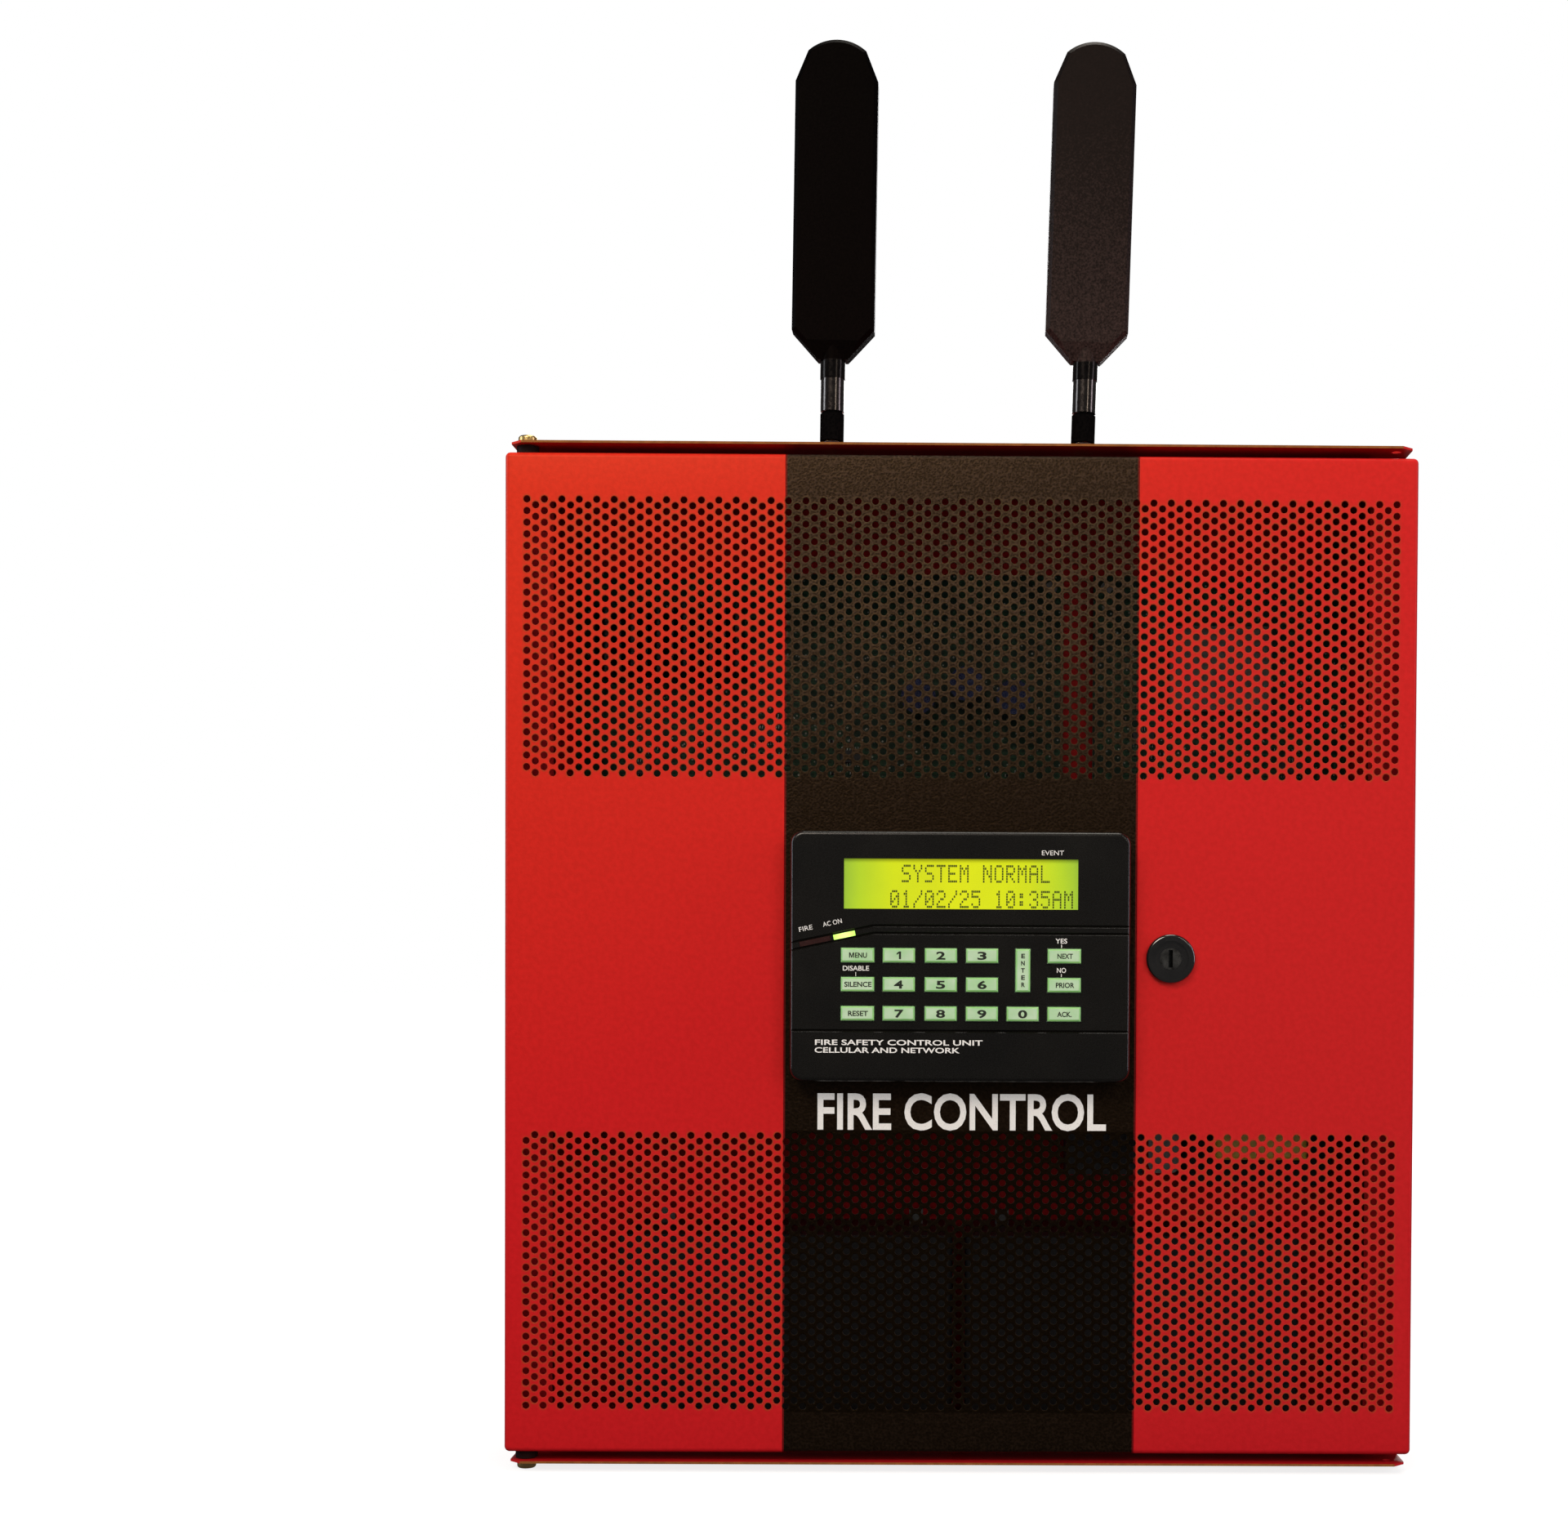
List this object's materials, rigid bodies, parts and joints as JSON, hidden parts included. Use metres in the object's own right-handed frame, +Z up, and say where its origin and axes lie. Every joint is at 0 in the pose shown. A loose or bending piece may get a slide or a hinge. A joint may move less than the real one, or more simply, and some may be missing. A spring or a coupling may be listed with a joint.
{
  "type": "fire alarm control panel",
  "caption": "Wall cabinet with a hinged perforated door that carries a keypad with a display and a cam lock; batteries and boards inside; paddle antennas on top.",
  "frame": {"origin": "centre of the four wall mounting holes, on the outer face of the cabinet's back wall", "axes": "+Z up, +X to the right as seen from the front, +Y into the wall, so the door faces -Y"},
  "size_m": [0.394, 0.1229, 0.628],
  "materials": {
    "red_coat": "powder coat",
    "yellow_zinc": "satin",
    "nylon": "matte",
    "black_gloss_plastic": "gloss",
    "black_matte_plastic": "matte",
    "window_clear": "gloss",
    "display_backlight": "gloss",
    "circuit_laminate": "satin",
    "key_rubber": "matte",
    "red_lens": "gloss",
    "green_lens": "gloss",
    "zinc_steel": "satin",
    "black_lock_enamel": "gloss",
    "nickel_plug": "satin",
    "antenna_black": "gloss",
    "connector_brass": "satin",
    "connector_black": "satin",
    "terminal_green": "matte",
    "capacitor_sleeve": "gloss",
    "heat_sink_aluminium": "satin",
    "shield_tin": "satin",
    "core_steel": "matte",
    "winding_tape": "gloss",
    "cover_plastic": "matte",
    "battery_case": "matte",
    "key_green": "satin"
  },
  "bodies": {
    "cabinet": {"enclosure_box": "red_coat", "hinge_pins": "yellow_zinc", "main_circuit_board": "circuit_laminate", "communicator_board": "circuit_laminate", "board_standoffs": "zinc_steel", "board_screws": "zinc_steel", "field_terminal_blocks": "terminal_green", "board_relays": "black_matte_plastic", "board_capacitors": "capacitor_sleeve", "regulator_heat_sink": "heat_sink_aluminium", "cellular_module": "shield_tin", "antenna_connectors": "connector_brass", "antenna_nuts": "connector_black", "transformer_core": "core_steel", "transformer_winding": "winding_tape", "mains_terminal_block": "black_matte_plastic", "mains_cover": "cover_plastic", "ground_stud": "yellow_zinc", "battery_left": "battery_case", "battery_right": "battery_case", "battery_terminals": "zinc_steel"},
    "door": {"door_panel": "red_coat", "hinge_bushings": "nylon", "keypad_front_housing": "black_gloss_plastic", "keypad_back_plate": "black_matte_plastic", "lcd_window": "window_clear", "lcd_module": "display_backlight", "keypad_circuit_board": "circuit_laminate", "key_membrane": "key_rubber", "alarm_light_pipe": "red_lens", "power_light_pipe": "green_lens", "keypad_sounder": "black_matte_plastic", "keypad_screws": "zinc_steel", "lock_housing": "black_lock_enamel", "lock_nut": "zinc_steel"},
    "lock": {"lock_plug": "nickel_plug", "lock_cam": "zinc_steel", "lock_cam_screw": "zinc_steel"},
    "antenna_left_coupling": {"antenna_left_sleeve": "antenna_black"},
    "antenna_left_blade": {"antenna_left_paddle": "antenna_black"},
    "antenna_right_coupling": {"antenna_right_sleeve": "antenna_black"},
    "antenna_right_blade": {"antenna_right_paddle": "antenna_black"},
    "button_menu": {"key_menu": "key_green"},
    "button_1": {"key_1": "key_green"},
    "button_2": {"key_2": "key_green"},
    "button_3": {"key_3": "key_green"},
    "button_next": {"key_next": "key_green"},
    "button_silence": {"key_silence": "key_green"},
    "button_4": {"key_4": "key_green"},
    "button_5": {"key_5": "key_green"},
    "button_6": {"key_6": "key_green"},
    "button_prior": {"key_prior": "key_green"},
    "button_reset": {"key_reset": "key_green"},
    "button_7": {"key_7": "key_green"},
    "button_8": {"key_8": "key_green"},
    "button_9": {"key_9": "key_green"},
    "button_0": {"key_0": "key_green"},
    "button_acknowledge": {"key_acknowledge": "key_green"},
    "button_enter": {"key_enter": "key_green"}
  },
  "joints": [
    {"name": "door_swing", "type": "hinge", "parent": "cabinet", "child": "door", "pos_m": [-0.1886, -0.0994, 0], "axis": [0, 0, -1], "range_deg": [0, 110]},
    {"name": "lock_turn", "type": "hinge", "parent": "door", "child": "lock", "pos_m": [0.0909, -0.108, -0.0006], "axis": [0, -1, 0], "range_deg": [0, 90]},
    {"name": "antenna_left_coupling_spin", "type": "hinge", "parent": "cabinet", "child": "antenna_left_coupling", "pos_m": [-0.0582, -0.076, 0.234], "axis": [0.0122, 0, 0.9999], "continuous": true},
    {"name": "antenna_left_swivel", "type": "hinge", "parent": "cabinet", "child": "antenna_left_blade", "pos_m": [-0.0582, -0.076, 0.234], "axis": [0.0122, 0, 0.9999], "range_deg": [-175, 175]},
    {"name": "antenna_right_coupling_spin", "type": "hinge", "parent": "cabinet", "child": "antenna_right_coupling", "pos_m": [0.0534, -0.076, 0.234], "axis": [0.0279, 0, 0.9996], "continuous": true},
    {"name": "antenna_right_swivel", "type": "hinge", "parent": "cabinet", "child": "antenna_right_blade", "pos_m": [0.0534, -0.076, 0.234], "axis": [0.0279, 0, 0.9996], "range_deg": [-175, 175]},
    {"name": "press_menu", "type": "slide", "parent": "door", "child": "button_menu", "axis": [0, 1, 0], "range_m": [0, 0.0008], "stiffness_N_per_m": 800, "springref_m": -0.0004},
    {"name": "press_1", "type": "slide", "parent": "door", "child": "button_1", "axis": [0, 1, 0], "range_m": [0, 0.0008], "stiffness_N_per_m": 800, "springref_m": -0.0004},
    {"name": "press_2", "type": "slide", "parent": "door", "child": "button_2", "axis": [0, 1, 0], "range_m": [0, 0.0008], "stiffness_N_per_m": 800, "springref_m": -0.0004},
    {"name": "press_3", "type": "slide", "parent": "door", "child": "button_3", "axis": [0, 1, 0], "range_m": [0, 0.0008], "stiffness_N_per_m": 800, "springref_m": -0.0004},
    {"name": "press_next", "type": "slide", "parent": "door", "child": "button_next", "axis": [0, 1, 0], "range_m": [0, 0.0008], "stiffness_N_per_m": 800, "springref_m": -0.0004},
    {"name": "press_silence", "type": "slide", "parent": "door", "child": "button_silence", "axis": [0, 1, 0], "range_m": [0, 0.0008], "stiffness_N_per_m": 800, "springref_m": -0.0004},
    {"name": "press_4", "type": "slide", "parent": "door", "child": "button_4", "axis": [0, 1, 0], "range_m": [0, 0.0008], "stiffness_N_per_m": 800, "springref_m": -0.0004},
    {"name": "press_5", "type": "slide", "parent": "door", "child": "button_5", "axis": [0, 1, 0], "range_m": [0, 0.0008], "stiffness_N_per_m": 800, "springref_m": -0.0004},
    {"name": "press_6", "type": "slide", "parent": "door", "child": "button_6", "axis": [0, 1, 0], "range_m": [0, 0.0008], "stiffness_N_per_m": 800, "springref_m": -0.0004},
    {"name": "press_prior", "type": "slide", "parent": "door", "child": "button_prior", "axis": [0, 1, 0], "range_m": [0, 0.0008], "stiffness_N_per_m": 800, "springref_m": -0.0004},
    {"name": "press_reset", "type": "slide", "parent": "door", "child": "button_reset", "axis": [0, 1, 0], "range_m": [0, 0.0008], "stiffness_N_per_m": 800, "springref_m": -0.0004},
    {"name": "press_7", "type": "slide", "parent": "door", "child": "button_7", "axis": [0, 1, 0], "range_m": [0, 0.0008], "stiffness_N_per_m": 800, "springref_m": -0.0004},
    {"name": "press_8", "type": "slide", "parent": "door", "child": "button_8", "axis": [0, 1, 0], "range_m": [0, 0.0008], "stiffness_N_per_m": 800, "springref_m": -0.0004},
    {"name": "press_9", "type": "slide", "parent": "door", "child": "button_9", "axis": [0, 1, 0], "range_m": [0, 0.0008], "stiffness_N_per_m": 800, "springref_m": -0.0004},
    {"name": "press_0", "type": "slide", "parent": "door", "child": "button_0", "axis": [0, 1, 0], "range_m": [0, 0.0008], "stiffness_N_per_m": 800, "springref_m": -0.0004},
    {"name": "press_acknowledge", "type": "slide", "parent": "door", "child": "button_acknowledge", "axis": [0, 1, 0], "range_m": [0, 0.0008], "stiffness_N_per_m": 800, "springref_m": -0.0004},
    {"name": "press_enter", "type": "slide", "parent": "door", "child": "button_enter", "axis": [0, 1, 0], "range_m": [0, 0.0008], "stiffness_N_per_m": 800, "springref_m": -0.0004}
  ]
}
